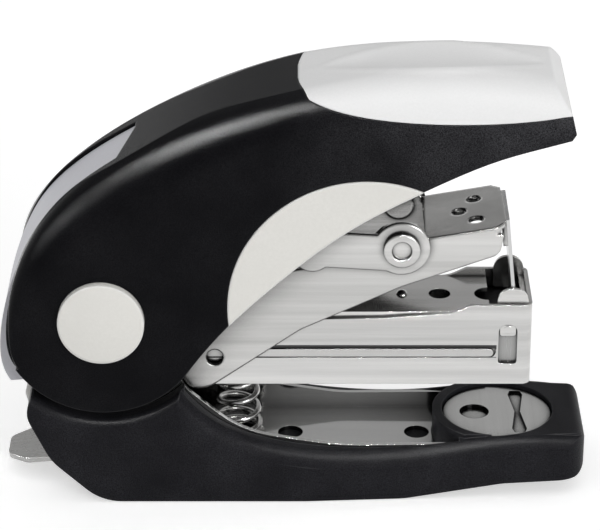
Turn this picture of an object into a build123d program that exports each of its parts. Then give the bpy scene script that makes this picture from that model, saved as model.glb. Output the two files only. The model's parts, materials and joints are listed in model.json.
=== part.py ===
from build123d import *
from math import acos, cos, hypot, pi, radians, sin, sqrt, tan
import os

os.makedirs("parts", exist_ok=True)

# Driving dimensions in millimetres: X runs to the front, Y to the far side, Z up

# Pivots, seen from the side as (x, z)
HANDLE_PIVOT = (-32.6, 35.0)
MAIN_PIVOT = (-30.0, 24.5)
ARM_RIVET = (18.0, 46.6)
LINK_PIVOT = (-14.0, 49.0)

# Swing of the arm against the magazine over a full stroke, in degrees
BLADE_STROKE = 5.8

# Layers across the width, each a half-width from the middle plane
SHEET = 0.8
SIDE_GAP = 0.3
RAIL_HALF = 5.7
BLADE_HALF = 6.1
GUIDE_HALF = 6.8
CHANNEL_HALF = 7.6
ARM_HALF = CHANNEL_HALF + SIDE_GAP + SHEET
LINK_THICK = 1.0
LINK_INNER = ARM_HALF + SIDE_GAP
LINK_OUTER = LINK_INNER + LINK_THICK
PLATE_HALF = LINK_OUTER
EAR_ROOM = 1.8
HANDLE_WALL = 2.2
HANDLE_INSIDE = PLATE_HALF + EAR_ROOM
HANDLE_HALF = HANDLE_INSIDE + HANDLE_WALL
BASE_HALF = HANDLE_HALF
CAP_SEAT = 1.4
PIN_END = HANDLE_HALF - CAP_SEAT

# Fits
PIN_FIT = 0.04
SLIP_FIT = 0.1
LINK_PLAY = 0.35
SADDLE_GAP = 1.9

# How far cutters run past the faces they open
GRAZE = 0.02
OVER = 1.0
FAR = 100.0

# Handle, seen from the side
BOSS_RADIUS = 17.4
BOSS_END = 212.0
LOWER_EDGE_TILT = 55.4
SPINE = [
    (-48.8, 32.5),
    (-48.1, 38.0),
    (-46.6, 43.3),
    (-43.7, 49.0),
    (-39.3, 54.5),
    (-29.2, 61.9),
    (-17.5, 68.5),
    (-2.0, 74.0),
    (12.0, 76.9),
    (26.0, 77.9),
]
NOSE_TOP = (42.8, 76.2)
NOSE_SLOPE = (1, -0.2)
NOSE_BROW = (45.4, 72.2)
NOSE_FRONT = (46.1, 69.2)
NOSE_DROP = 0.3
LOWER_EDGE = [(45.4, 68.1), (33.7, 64.6), (22.7, 59.6), (9.2, 52.0), (-4.0, 41.2)]
RIM_STEP = 1.0
SPINE_WALL = 3.4
SPINE_ROUND = 8.0
SPINE_ROUNDING = [
    (0.0, 0.15),
    (0.1, 0.3),
    (0.2, 0.75),
    (0.3, 1.0),
    (0.5, 1.0),
    (0.75, 1.0),
    (1.0, 1.0),
    (1.08, 1.0),
]
PIVOT_BOSS = 5.0
LINK_BOSS = 3.2
EAR_WAY = 12.0
CAP_RADIUS = 7.3
CAP_PROUD = 2.0
CAP_DOME = 0.7
SEGMENT_CENTRE = (12.0, 37.5)
SEGMENT_RADIUS = 23.3
SEGMENT_DEPTH = 1.0
SEGMENT_PROUD = 0.25
PAD_REAR = 0.4
PAD_CENTRE = (28.0, 80.5)
PAD_REACH = (34.5, 9.7)
PAD_PLAN_RADIUS = 30.0
PAD_FLOOR = 2.0
PAD_FRONT_SLOPE = 0.07
PANEL_HALF = 5.3
PANEL_FLARE = 6.0
PANEL_WIDEST = 7.2
PANEL_SEAT = 2.0
PANEL_OUTER = [
    (-26.5, 62.9),
    (-34.4, 57.7),
    (-43.5, 48.8),
    (-48.3, 38.5),
    (-50.5, 28.0),
    (-50.1, 22.6),
    (-49.0, 20.2),
]
PANEL_INNER = [(-46.5, 20.4), (-40.0, 26.0), (-36.0, 45.0), (-24.0, 56.0)]
PANEL_END_SLANT = 17.0

# Links and arm
LINK_NOSE = 4.75
LINK_TAIL = 3.8
LINK_WAIST = 3.2
LINK_CRANK = (3.0, 45.6)
RIVET_HEAD = 3.05
RIVET_CROWN = 0.8
RIVET_CUP = 0.5
RIVET_FOOT = (2.6, 0.6)
ARM_HEEL = (5.5, 5.2)
ARM_LOWER = [(-15.0, 19.4, 6), (1.0, 30.8, 12), (18.0, 38.9, 8), (34.6, 45.0, 2.2)]
ARM_UPPER = [(20.6, 50.6, 1.5), (15.0, 50.2, 2), (9.0, 43.6, 4), (-6.0, 41.0, 4), (-22.0, 38.0, 6)]
ARM_FRONT = 35.4
ARM_TOP = 50.2
ARM_TOP_REAR = 22.0
ARM_RAKE = 0.176
ARM_BRIDGE = [(-20.0, 38.4), (-6.0, 41.0)]
ARM_CORNER = 1.5
ARM_HOLES = [(28.0, 0), (30.7, 4.2), (30.7, -4.2)]
ARM_HOLE = 1.3
ARM_SIDE_HOLE = (-13.7, 25.4)
ARM_SIDE_HOLE_RADIUS = 1.5

# Magazine, a level channel at rest
MAG_BOTTOM = 19.7
MAG_TOP = 34.8
MAG_FRONT = 40.6
MAG_REAR = -36.0
BLADE_X = 38.2
BLADE_THICK = 0.6
BLADE_TOP = 43.4
LIP_BOTTOM = 38.6
RAIL_TOP = 26.0
ROD_Z = 29.6
ROD_RADIUS = 0.9
PUSHER_FRONT = 36.6
PUSHER_LENGTH = 6.0
PUSHER_HALF = 6.6
PUSHER_CROWN = 1.6
TAB_RISE = 2.5
CHANNEL_SHEET = 0.7
CHANNEL_BEND = 1.5
CHANNEL_DIPS = [(30.0, 0, 1), (27.0, 1.5, 6), (15.0, 2.4, 20), (-24.0, 3.2, 4), (MAG_REAR, 5.3, 4)]
WINDOW = (34.9, 38.1, 23.6, 31.1)
RAIL_FRONT = 37.2
RAIL_REAR = -22.8
GUIDE_BACK = 39.0
GUIDE_DROP = 1.0
EAR_REAR = 34.6
EAR_FOOT = 31.6
EAR_TOP = 37.5
EAR_ROUND = 2.4
COVER_REAR = -24.0
COVER_FRONT = 33.4
COVER_LIP_FRONT = 28.0
COVER_TOP = 33.3
COVER_LIP = 1.6
COVER_NOTCH = 2.4
COVER_HOLE = (25.0, 1.9)
COVER_PIP = (18.5, 1.1)
GROOVE_MIDDLE = (8.0, 26.0)
GROOVE_SIZE = (53.0, 2.4)
GROOVE_DEPTH = 0.35

# Base
FLOOR_Z = 5.2
DECK = 1.6
BASE_FRONT = 50.5
BASE_TOP = 10.8
BASE_EDGE = [
    (-18.9, 19.9),
    (-13.9, 14.8),
    (-5.0, 10.6),
    (5.0, 8.9),
    (14.0, 8.6),
    (24.0, 9.3),
    (33.0, 10.4),
    (42.0, BASE_TOP),
]
BASE_UNDER = [(-33.5, 0, 9), (19.0, 0, 14), (36.0, 2.4, 14), (BASE_FRONT, 2.8, 2)]
BASE_HEEL = [(-43.0, 26.0, 0), (-46.2, 17.0, 5), (-42.0, 8.0, 10)]
HEEL_TOP = (-40.0, 20.0)
TIP_SLOPE = (0.6, -0.8)
BASE_TAPER_X = 2.0
BASE_TAPER = 2.8
BASE_ROUND = 2.8
BASE_ROUNDING = [
    (-0.08, 0.7),
    (0.0, 0.8),
    (0.2, 1.0),
    (0.45, 1.0),
    (0.7, 1.2),
    (0.85, 1.0),
    (1.0, 0.8),
    (1.2, 0.5),
]
UNDERCUT = (29.5, 46.0, 8.0)
SADDLE_ROUND = 1.8
COLLAR_RADIUS = 11.4
DISC_CENTRE = 35.6
DISC_RADIUS = 9.65
DISC_TOP = 10.1
DISC_THICK = 1.2
PAD_UNDER = 1.6
PLATE_SHEET = 0.8
PLATE_REAR = -42.0
PLATE_FRONT = 28.4
PLATE_EDGE = [(PLATE_FRONT, 9.1, 1), (8.0, 8.9, 30), (-9.0, 11.6, 20), (-19.0, 20.4, 6)]
PLATE_EAR = (6.6, 6.2)
PLATE_HEEL = 1.5
PLATE_HOLES = (-0.8, 21.5)
PLATE_HOLE = 2.2
CLINCH_X = 39.2
CLINCH_HALF = [(0, 0), (0.5, 0), (1.3, 6.2), (0.9, 7.6), (-0.9, 7.6), (-1.3, 6.2), (-0.5, 0)]
CLINCH_DEPTH = 0.5
DIMPLE = (31.6, 2.6, 0.7)
FOOT_REAR = -33.0
FOOT_FRONT = 16.0
FOOT_HALF = 11.0
REMOVER_SLOPE = 5.0
REMOVER_TIP = -50.5
REMOVER_SHOULDER = -47.0
REMOVER_ROOT = -30.0
REMOVER_HALF = 5.5
REMOVER_TIP_HALF = 3.0
REMOVER_SHEET = 0.9
REMOVER_MIDDLE = (-38.0, 3.6)
REAR_PANEL = [(-44.0, 19.0, 0.5), (-47.0, 17.6, 1.5), (-45.2, 10.2, 6), (-42.5, 8.0, 0.5), (-42.0, 14.0, 0)]
RIVET_X = -22.0
RIVET_Y = 5.0
BASE_RIVET = 1.3
BASE_RIVET_HEAD = 2.3

# Pins and springs
HANDLE_PIN_RADIUS = 2.5
MAIN_PIN_RADIUS = 2.0
PIN_HEAD = (3.0, 0.9)
LINK_PIN_RADIUS = 1.5
RIVET_RADIUS = 1.7
RETURN_SPRING_X = -10.0
RETURN_WIRE = 0.8
RETURN_TURNS = 4
RETURN_RADII = (4.2, 3.0)
PUSHER_WIRE = 0.5
PUSHER_COIL = 1.75
PUSHER_TURNS = 10


# Helpers

def slab(face, y_low, y_high):
    """Side-view face (x, z) made solid between two Y planes."""
    return extrude(Plane.XZ.offset(-y_high) * face, amount=y_high - y_low, dir=(0, -1, 0))


def block(x_low, x_high, y_low, y_high, z_low, z_high):
    """Box between two corners."""
    size = Box(x_high - x_low, y_high - y_low, z_high - z_low)
    return Pos((x_low + x_high) / 2, (y_low + y_high) / 2, (z_low + z_high) / 2) * size


def both_sides(face, inner, outer):
    """The same side-view face as two plates, one each side of the middle plane."""
    return slab(face, inner, outer) + slab(face, -outer, -inner)


def rod(point, radius, y_low, y_high):
    """Round bar across the width at a side-view point."""
    return slab(Pos(*point) * Circle(radius), y_low, y_high)


def upright(x, y, radius, z_low, z_high):
    """Round bar standing on Z."""
    return Pos(x, y, (z_low + z_high) / 2) * Cylinder(radius, z_high - z_low)


def rounded(*corners):
    """Face through (u, v, radius) corners."""
    count = len(corners)
    spans = []
    for i, (u, v, radius) in enumerate(corners):
        here = Vector(u, v)
        back = (Vector(*corners[i - 1][:2]) - here).normalized()
        ahead = (Vector(*corners[(i + 1) % count][:2]) - here).normalized()
        half = acos(back.dot(ahead)) / 2
        cut = radius / tan(half)
        middle = here + (back + ahead).normalized() * (radius / sin(half) - radius)
        spans.append((here + back * cut, middle, here + ahead * cut))
    edges = []
    for i, (start, middle, end) in enumerate(spans):
        if corners[i][2] > 0:
            edges.append(ThreePointArc(start, middle, end))
        edges.append(Line(end, spans[(i + 1) % count][0]))
    return make_face(edges)


def pressed(solid, pivot, degrees):
    """Solid turned about a pivot, nose down for positive degrees."""
    to_pivot = Pos(pivot[0], 0, pivot[1])
    return to_pivot * Rot(0, degrees, 0) * to_pivot.inverse() * solid


def biarc_path(points, tangents):
    """Smooth wire through 3-D points, two arcs for each stretch."""
    edges = []
    for p, q, a, b in zip(points, points[1:], tangents, tangents[1:]):
        chord = q - p
        both = a + b
        bend = 2 * (1 - a.dot(b))
        reach = (sqrt(chord.dot(both) ** 2 + bend * chord.dot(chord)) - chord.dot(both)) / bend
        lead = p + a * reach
        trail = q - b * reach
        join = (lead + trail) * 0.5
        edges.append(Edge.make_tangent_arc(p, a, join))
        edges.append(Edge.make_tangent_arc(join, (trail - lead).normalized(), q))
    return Wire(edges)


def coil(turns, radius_at, along_at, place):
    """Points and tangents of a coil at each quarter turn."""
    steps = turns * 4

    def spot(t):
        angle = t * turns * 2 * pi
        return place(radius_at(t) * cos(angle), radius_at(t) * sin(angle), along_at(t))

    points = [spot(i / steps) for i in range(steps + 1)]
    step = 1e-4
    tangents = [(spot(i / steps + step) - spot(i / steps - step)).normalized() for i in range(steps + 1)]
    return points, tangents


def report_gap(name, points, wire):
    """Print the least gap between a coil's neighbouring turns."""
    gaps = [(b - a).length - wire for a, b in zip(points, points[4:])]
    print(f"{name}: least gap to itself {min(gaps):.2f} mm")


# Handle body

def boss_point(radius, degrees):
    """Point round the handle pivot."""
    angle = radians(degrees)
    return (HANDLE_PIVOT[0] + radius * cos(angle), HANDLE_PIVOT[1] + radius * sin(angle))


def moved_in(points, inset):
    """Open outline moved to its right by an inset."""
    moved = []
    for i, point in enumerate(points):
        before = points[max(i - 1, 0)]
        after = points[min(i + 1, len(points) - 1)]
        run = hypot(after[0] - before[0], after[1] - before[1])
        step = ((after[1] - before[1]) / run, (before[0] - after[0]) / run)
        moved.append((point[0] + inset * step[0], point[1] + inset * step[1]))
    return moved


def spine_curve(inset):
    """Top edge of the handle from the back of the boss to the nose."""
    rear = boss_point(BOSS_RADIUS - inset, BOSS_END)
    crest = moved_in([boss_point(BOSS_RADIUS, BOSS_END)] + SPINE + [NOSE_TOP], inset)[1:]
    rise = (sin(radians(BOSS_END)), -cos(radians(BOSS_END)))
    return Spline(rear, *crest, tangents=[rise, NOSE_SLOPE], tangent_scalars=[1, 1])


def handle_face(inset):
    """Side outline of the handle, pulled in from the boss, spine and nose by an inset."""
    leave = LOWER_EDGE_TILT - 90
    start = boss_point(BOSS_RADIUS, leave)
    near_start = boss_point(BOSS_RADIUS - inset, leave)
    middle = boss_point(BOSS_RADIUS - inset, (leave + BOSS_END - 360) / 2)
    boss = ThreePointArc(near_start, middle, boss_point(BOSS_RADIUS - inset, BOSS_END))
    top = spine_curve(inset)
    brow, tip, low = [(x - inset, z - inset * NOSE_DROP) for x, z in (NOSE_BROW, NOSE_FRONT, LOWER_EDGE[0])]
    tilt = radians(LOWER_EDGE_TILT)
    under = Spline(low, *LOWER_EDGE[1:], start, tangents=[(-1, -NOSE_DROP), (-cos(tilt), -sin(tilt))])
    edges = [boss, top, Polyline(top @ 1, brow, tip, low), under]
    if inset > 0:
        edges.append(Line(start, near_start))
    return make_face(edges)


def rounding_cutter(path, half_at, radius, stations):
    """Pair of lofted cutters that round the top edges along a side-view path."""
    spare = radius
    sections = []
    for place, share in stations:
        inside = min(max(place, 0.0), 1.0)
        along = path.tangent_at(inside)
        spot = path.position_at(inside) + along * (place - inside) * path.length
        size = radius * share
        half = half_at(spot.X)
        section = Plane(origin=(spot.X, 0, spot.Y), x_dir=(0, 1, 0), z_dir=(along.X, 0, along.Y))
        centre = Vector(half - size, -size)
        grazing = radians(3)
        reach = size + GRAZE
        side = centre + Vector(cos(grazing), sin(grazing)) * reach
        middle = centre + Vector(1, 1).normalized() * reach
        top = centre + Vector(sin(grazing), cos(grazing)) * reach
        over = Vector(top.X, spare)
        corner = Vector(half + spare, spare)
        under = Vector(half + spare, side.Y)
        outline = [
            ThreePointArc(side, middle, top),
            Line(top, over),
            Line(over, corner),
            Line(corner, under),
            Line(under, side),
        ]
        sections.append(section * make_face(outline))
    far = loft(sections)
    return far + mirror(far, about=Plane.XZ)


def spine_cutter(inset, half, radius):
    """Cutters along the handle's spine, fading out at the rear."""
    return rounding_cutter(spine_curve(inset), lambda x: half, radius, SPINE_ROUNDING)


def handle_outer():
    """Whole outside form of the handle, with its pad."""
    return slab(handle_face(0), -HANDLE_HALF, HANDLE_HALF) - spine_cutter(0, HANDLE_HALF, SPINE_ROUND)


def pad_region(grow):
    """Space that the grip pad takes at the top of the nose."""
    x, z = PAD_CENTRE
    arc = Pos(x, z) * Ellipse(PAD_REACH[0] + grow, PAD_REACH[1] + grow)
    low = z - PAD_REACH[1] - grow
    front = Polygon((x, low), (FAR, low + PAD_FRONT_SLOPE * (FAR - x)), (FAR, FAR), (x, FAR), align=None)
    plan_x = PAD_REAR + PAD_PLAN_RADIUS
    plan = upright(plan_x, 0, PAD_PLAN_RADIUS + grow, 0, FAR)
    plan += block(plan_x, FAR, -PAD_PLAN_RADIUS, PAD_PLAN_RADIUS, 0, FAR)
    return slab(arc + front, -HANDLE_HALF - OVER, HANDLE_HALF + OVER) & plan


def segment_face(grow):
    """Round part of the side wall that the white segment fills."""
    return (Pos(*SEGMENT_CENTRE) * Circle(SEGMENT_RADIUS + grow)) & handle_face(0)


def panel_block(grow, outward):
    """White back panel before its seat is taken off, slanted at its top end."""
    outer = Spline(*moved_in(PANEL_OUTER, outward))
    edges = [outer, Polyline(outer @ 1, *PANEL_INNER, outer @ 0)]
    body = slab(make_face(edges), -PANEL_WIDEST - grow, PANEL_WIDEST + grow)
    x, z = PANEL_OUTER[0]
    full = x - (PANEL_WIDEST - PANEL_HALF) / tan(radians(PANEL_FLARE))
    wide = PANEL_WIDEST + grow
    top = PANEL_HALF + grow
    plan = Polygon((x, top), (full, wide), (-FAR, wide), (-FAR, -wide), (full, -wide), (x, -top), align=None)
    body &= extrude(plan, amount=FAR, dir=(0, 0, 1))
    end = Pos(x - PANEL_HALF * tan(radians(PANEL_END_SLANT)) + grow, 0, z) * Rot(0, 0, -PANEL_END_SLANT)
    return body - end * block(0, FAR, -FAR, FAR, -FAR, FAR)


def handle_cavity():
    """Space inside the handle, open below."""
    hollow = slab(handle_face(SPINE_WALL), -HANDLE_INSIDE, HANDLE_INSIDE)
    hollow -= spine_cutter(SPINE_WALL, HANDLE_INSIDE, SPINE_ROUND - HANDLE_WALL)
    hollow -= pad_region(PAD_FLOOR)
    leave = boss_point(BOSS_RADIUS, LOWER_EDGE_TILT - 90)
    front = (LOWER_EDGE[0][0] - SPINE_WALL - RIM_STEP, LOWER_EDGE[0][1] - RIM_STEP)
    raised = moved_in([front] + LOWER_EDGE[1:] + [leave], RIM_STEP)
    x, z = HANDLE_PIVOT
    roof = z - PIVOT_BOSS
    ears = [(x + EAR_WAY, roof), (x - EAR_WAY, roof), (x - EAR_WAY, 0), (front[0], 0)]
    under = Polygon(*raised, *ears, align=None)
    return hollow + slab(under, -HANDLE_INSIDE, HANDLE_INSIDE)


def handle_shell():
    """Black moulded handle, an upside-down trough with bosses for its two pins."""
    shell = handle_outer() - handle_cavity() - pad_region(SLIP_FIT)
    shell += both_sides(Pos(*HANDLE_PIVOT) * Circle(PIVOT_BOSS), PLATE_HALF + SIDE_GAP, HANDLE_INSIDE)
    shell += both_sides(Pos(*LINK_PIVOT) * Circle(LINK_BOSS), LINK_OUTER + SIDE_GAP, HANDLE_INSIDE)
    shell -= rod(HANDLE_PIVOT, HANDLE_PIN_RADIUS + PIN_FIT, -HANDLE_HALF, HANDLE_HALF)
    shell -= rod(LINK_PIVOT, LINK_PIN_RADIUS + PIN_FIT, -PIN_END, PIN_END)
    shell -= both_sides(Pos(*HANDLE_PIVOT) * Circle(CAP_RADIUS + SLIP_FIT), PIN_END, HANDLE_HALF + OVER)
    shell -= both_sides(segment_face(SLIP_FIT), HANDLE_HALF - SEGMENT_DEPTH, HANDLE_HALF + OVER)
    recess = panel_block(SLIP_FIT, 0) + panel_block(SLIP_FIT, PANEL_SEAT)
    shell -= recess - slab(handle_face(PANEL_SEAT), -HANDLE_HALF, HANDLE_HALF)
    return shell


def grip_pad():
    """White soft pad over the nose."""
    return handle_outer() & pad_region(0)


def back_panel():
    """White strip down the back of the handle."""
    return panel_block(0, 0) - slab(handle_face(PANEL_SEAT - SLIP_FIT), -HANDLE_HALF, HANDLE_HALF)


def side_panel():
    """White round segment in one side wall."""
    return slab(segment_face(0), HANDLE_HALF - SEGMENT_DEPTH, HANDLE_HALF + SEGMENT_PROUD)


def pivot_cap():
    """Domed white cover over one end of the handle pin."""
    rim = CAP_PROUD - CAP_DOME
    disc = rod(HANDLE_PIVOT, CAP_RADIUS, PIN_END, HANDLE_HALF + CAP_PROUD)
    radius = (CAP_RADIUS ** 2 + CAP_DOME ** 2) / (2 * CAP_DOME)
    ball = Pos(HANDLE_PIVOT[0], HANDLE_HALF + rim + CAP_DOME - radius, HANDLE_PIVOT[1]) * Sphere(radius)
    return disc & ball


def handle_pivot_pin():
    """Steel pin that the handle turns on."""
    return rod(HANDLE_PIVOT, HANDLE_PIN_RADIUS, -PIN_END + SLIP_FIT, PIN_END - SLIP_FIT)


def link_pin():
    """Steel pin across the handle for the rear ends of the links."""
    return rod(LINK_PIVOT, LINK_PIN_RADIUS, -PIN_END + SLIP_FIT, PIN_END - SLIP_FIT)


# Link body

def link_plate():
    """Steel link from the handle to the arm, slightly cranked."""
    ends = Pos(*ARM_RIVET) * Circle(LINK_NOSE)
    ends += Pos(*LINK_PIVOT) * Circle(LINK_TAIL)
    ends += Pos(*LINK_CRANK) * Circle(LINK_WAIST)
    for start, end in ((ARM_RIVET, LINK_CRANK), (LINK_CRANK, LINK_PIVOT)):
        run = Vector(end[0] - start[0], end[1] - start[1])
        turn = Vector(1, 0).get_signed_angle(run)
        middle = ((start[0] + end[0]) / 2, (start[1] + end[1]) / 2)
        ends += Pos(*middle) * Rot(0, 0, turn) * Rectangle(run.length, 2 * LINK_WAIST)
    ends -= Pos(*ARM_RIVET) * Circle(RIVET_RADIUS + PIN_FIT)
    ends -= Pos(*LINK_PIVOT) * Circle(LINK_PIN_RADIUS + LINK_PLAY)
    return slab(ends, LINK_INNER, LINK_OUTER)


# Arm body

def arm_top_at(x):
    """Height of the arm's top plate, which rises to the front."""
    return ARM_TOP - ARM_RAKE * (ARM_FRONT - x)


def sheet_under(start, end):
    """Side view of a level or sloping sheet, its top face from one point to another."""
    low = [(x, z - SHEET) for x, z in (end, start)]
    return Polygon(start, end, *low, align=None)


def arm_face():
    """Side outline of the driver arm."""
    x, z = MAIN_PIVOT
    heel, rise = ARM_HEEL
    rear = (ARM_TOP_REAR, arm_top_at(ARM_TOP_REAR), 1)
    front = (ARM_FRONT, ARM_TOP, 0.5)
    return rounded((x - heel, z - rise, 4.5), *ARM_LOWER, front, rear, *ARM_UPPER, (x - heel, z + heel, 5))


def driver_arm():
    """Bright channel that straddles the magazine and carries the blade."""
    arm = both_sides(arm_face(), ARM_HALF - SHEET, ARM_HALF)
    top = [(ARM_TOP_REAR, arm_top_at(ARM_TOP_REAR)), (ARM_FRONT, ARM_TOP)]
    for sheet in (top, ARM_BRIDGE):
        arm += slab(sheet_under(*sheet), -ARM_HALF, ARM_HALF)
    back = BLADE_X - BLADE_THICK / 2
    lip = block(back - SHEET, back, -BLADE_HALF, BLADE_HALF, LIP_BOTTOM, BLADE_TOP)
    arm += pressed(lip, MAIN_PIVOT, -BLADE_STROKE)
    for x, y in ARM_HOLES:
        arm -= upright(x, y, ARM_HOLE, LIP_BOTTOM, FAR)
    for y in (ARM_HALF, -ARM_HALF):
        square = Rot(0, 0, 45) * Box(ARM_CORNER * sqrt(2), ARM_CORNER * sqrt(2), 4 * SHEET)
        arm -= Pos(ARM_FRONT, y, ARM_TOP) * square
    arm -= rod(MAIN_PIVOT, MAIN_PIN_RADIUS + PIN_FIT, -ARM_HALF, ARM_HALF)
    arm -= rod(ARM_RIVET, RIVET_RADIUS, -ARM_HALF, ARM_HALF)
    return arm - rod(ARM_SIDE_HOLE, ARM_SIDE_HOLE_RADIUS, -ARM_HALF, ARM_HALF)


def driver_blade():
    """Thin blade that pushes one staple out."""
    back = BLADE_X - BLADE_THICK / 2
    strip = block(back, back + BLADE_THICK, -BLADE_HALF, BLADE_HALF, MAG_BOTTOM, BLADE_TOP)
    return pressed(strip, MAIN_PIVOT, -BLADE_STROKE)


def link_rivet():
    """Hollow-headed rivet that the front end of a link turns on."""
    inside = ARM_HALF - SHEET
    foot_radius, foot = RIVET_FOOT
    seat = LINK_OUTER + SLIP_FIT
    rivet = rod(ARM_RIVET, RIVET_RADIUS, inside - foot, seat)
    rivet += rod(ARM_RIVET, foot_radius, inside - foot, inside)
    rivet += rod(ARM_RIVET, RIVET_HEAD, seat, seat + RIVET_CROWN)
    return rivet - rod(ARM_RIVET, RIVET_RADIUS, seat + RIVET_CROWN - RIVET_CUP, seat + RIVET_CROWN)


# Magazine body

def magazine_channel():
    """Outer staple channel, open on top and closed at the front."""
    channel = block(MAG_REAR, MAG_FRONT, -CHANNEL_HALF, CHANNEL_HALF, MAG_BOTTOM, MAG_TOP)
    channel = fillet(channel.edges().filter_by(Axis.Z).group_by(Axis.X)[-1], CHANNEL_BEND)
    inside = CHANNEL_HALF - CHANNEL_SHEET
    floor = MAG_BOTTOM + CHANNEL_SHEET
    channel -= block(MAG_REAR - OVER, MAG_FRONT - CHANNEL_SHEET, -inside, inside, floor, FAR)
    front = MAG_FRONT + OVER
    top = [(x, MAG_TOP - dip, radius) for x, dip, radius in CHANNEL_DIPS]
    side = rounded((MAG_REAR, MAG_BOTTOM, 4), (front, MAG_BOTTOM, 0), (front, MAG_TOP, 0), *top)
    channel &= slab(side, -CHANNEL_HALF - OVER, CHANNEL_HALF + OVER)
    groove = Pos(*GROOVE_MIDDLE) * SlotOverall(*GROOVE_SIZE)
    channel -= both_sides(groove, CHANNEL_HALF - GROOVE_DEPTH, CHANNEL_HALF + OVER)
    rear, ahead, low, high = WINDOW
    window = rounded((rear, low, 0.6), (ahead, low, 0.6), (ahead, high, 1.4), (rear, high, 1.4))
    channel -= slab(window, -CHANNEL_HALF - OVER, CHANNEL_HALF + OVER)
    slot = BLADE_HALF + SIDE_GAP
    channel -= block(RAIL_FRONT, GUIDE_BACK, -slot, slot, MAG_BOTTOM - OVER, floor + OVER)
    return channel - rod(MAIN_PIVOT, MAIN_PIN_RADIUS + PIN_FIT, -CHANNEL_HALF, CHANNEL_HALF)


def staple_rail():
    """Inner rail that the staples ride on, with a tab at the rear for the rod."""
    low = MAG_BOTTOM + CHANNEL_SHEET
    rail = block(RAIL_REAR, RAIL_FRONT, -RAIL_HALF, RAIL_HALF, low, RAIL_TOP)
    inside = RAIL_HALF - SHEET
    rail -= block(RAIL_REAR - OVER, RAIL_FRONT + OVER, -inside, inside, low - OVER, RAIL_TOP - SHEET)
    rail += block(RAIL_REAR, RAIL_REAR + SHEET, -RAIL_HALF, RAIL_HALF, low, ROD_Z + TAB_RISE)
    return rail - Pos(RAIL_REAR, 0, ROD_Z) * Rot(0, 90, 0) * Cylinder(ROD_RADIUS, 4 * SHEET)


def front_guide():
    """Front plate with two rounded ears that guide the blade."""
    front = MAG_FRONT - CHANNEL_SHEET
    low = MAG_BOTTOM + CHANNEL_SHEET
    guide = block(GUIDE_BACK, front, -GUIDE_HALF, GUIDE_HALF, low, MAG_TOP - GUIDE_DROP)
    foot = [(EAR_REAR, EAR_FOOT, 0.5), (front, EAR_FOOT, 0)]
    ear = rounded(*foot, (front, EAR_TOP, EAR_ROUND), (EAR_REAR, EAR_TOP, EAR_ROUND))
    return guide + both_sides(ear, BLADE_HALF + SLIP_FIT, GUIDE_HALF)


def magazine_cover():
    """Plate over the rear part of the channel, notched at the front."""
    inside = CHANNEL_HALF - CHANNEL_SHEET
    under = COVER_TOP - CHANNEL_SHEET
    cover = block(COVER_REAR, COVER_FRONT, -inside, inside, under, COVER_TOP)
    for y in (inside - CHANNEL_SHEET, -inside):
        cover += block(COVER_REAR, COVER_LIP_FRONT, y, y + CHANNEL_SHEET, COVER_TOP - COVER_LIP, COVER_TOP)
    for x, radius in ((COVER_FRONT, COVER_NOTCH), COVER_HOLE):
        cover -= upright(x, 0, radius, under - OVER, COVER_TOP + OVER)
    pip_x, pip_radius = COVER_PIP
    return cover + Pos(pip_x, 0, COVER_TOP - CHANNEL_SHEET / 2) * Sphere(pip_radius)


def pusher():
    """Block that pushes the staples forward along the rail."""
    rear = PUSHER_FRONT - PUSHER_LENGTH
    low = MAG_BOTTOM + CHANNEL_SHEET + SIDE_GAP
    body = block(rear, PUSHER_FRONT, -PUSHER_HALF, PUSHER_HALF, low, ROD_Z + PUSHER_CROWN)
    inside = RAIL_HALF + SIDE_GAP
    body -= block(rear - OVER, PUSHER_FRONT + OVER, -inside, inside, MAG_BOTTOM, RAIL_TOP + SIDE_GAP)
    return body - Pos(rear, 0, ROD_Z) * Rot(0, 90, 0) * Cylinder(ROD_RADIUS + PIN_FIT, 4 * PUSHER_LENGTH)


def pusher_rod():
    """Rod that the pusher and its spring run on."""
    length = PUSHER_FRONT - RAIL_REAR
    return Pos((PUSHER_FRONT + RAIL_REAR) / 2, 0, ROD_Z) * Rot(0, 90, 0) * Cylinder(ROD_RADIUS, length)


def wound_spring(name, wire, turns, radius_at, length, place):
    """Coil with a short straight end square to each seat."""
    lead = 2.0 * wire + length / turns / 4
    points, tangents = coil(turns, radius_at, lambda t: lead + t * (length - 2 * lead), place)
    report_gap(name, points, wire)
    axis = (place(0, 0, 1) - place(0, 0, 0)).normalized()
    first = place(radius_at(0), 0, 0)
    last = place(radius_at(1), 0, length)
    mid_points = [first + axis * wire] + points[1:-1] + [last - axis * wire]
    mid_tangents = [axis] + tangents[1:-1] + [axis]
    start = Edge.make_line(first, mid_points[0])
    end = Edge.make_line(mid_points[-1], last)
    path = Wire([start] + list(biarc_path(mid_points, mid_tangents).edges()) + [end])
    section = Plane(origin=first, z_dir=axis) * Circle(wire / 2)
    return sweep(section, path=path)


def pusher_spring():
    """Long fine spring behind the pusher."""
    start = RAIL_REAR + SHEET
    length = PUSHER_FRONT - PUSHER_LENGTH - start

    def place(u, v, w):
        return Vector(start + w, v, ROD_Z + u)

    return wound_spring("pusher_spring", PUSHER_WIRE, PUSHER_TURNS, lambda t: PUSHER_COIL, length, place)


# Base body

def base_edge():
    """Top edge of the base from the tip under the handle to the anvil."""
    return Spline(*BASE_EDGE, tangents=[TIP_SLOPE, (1, 0)], tangent_scalars=[1, 1])


def base_half_at(x):
    """Half-width of the base, which tapers to the front."""
    share = max(x - BASE_TAPER_X, 0) / (BASE_FRONT - BASE_TAPER_X)
    return BASE_HALF - BASE_TAPER * share


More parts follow.
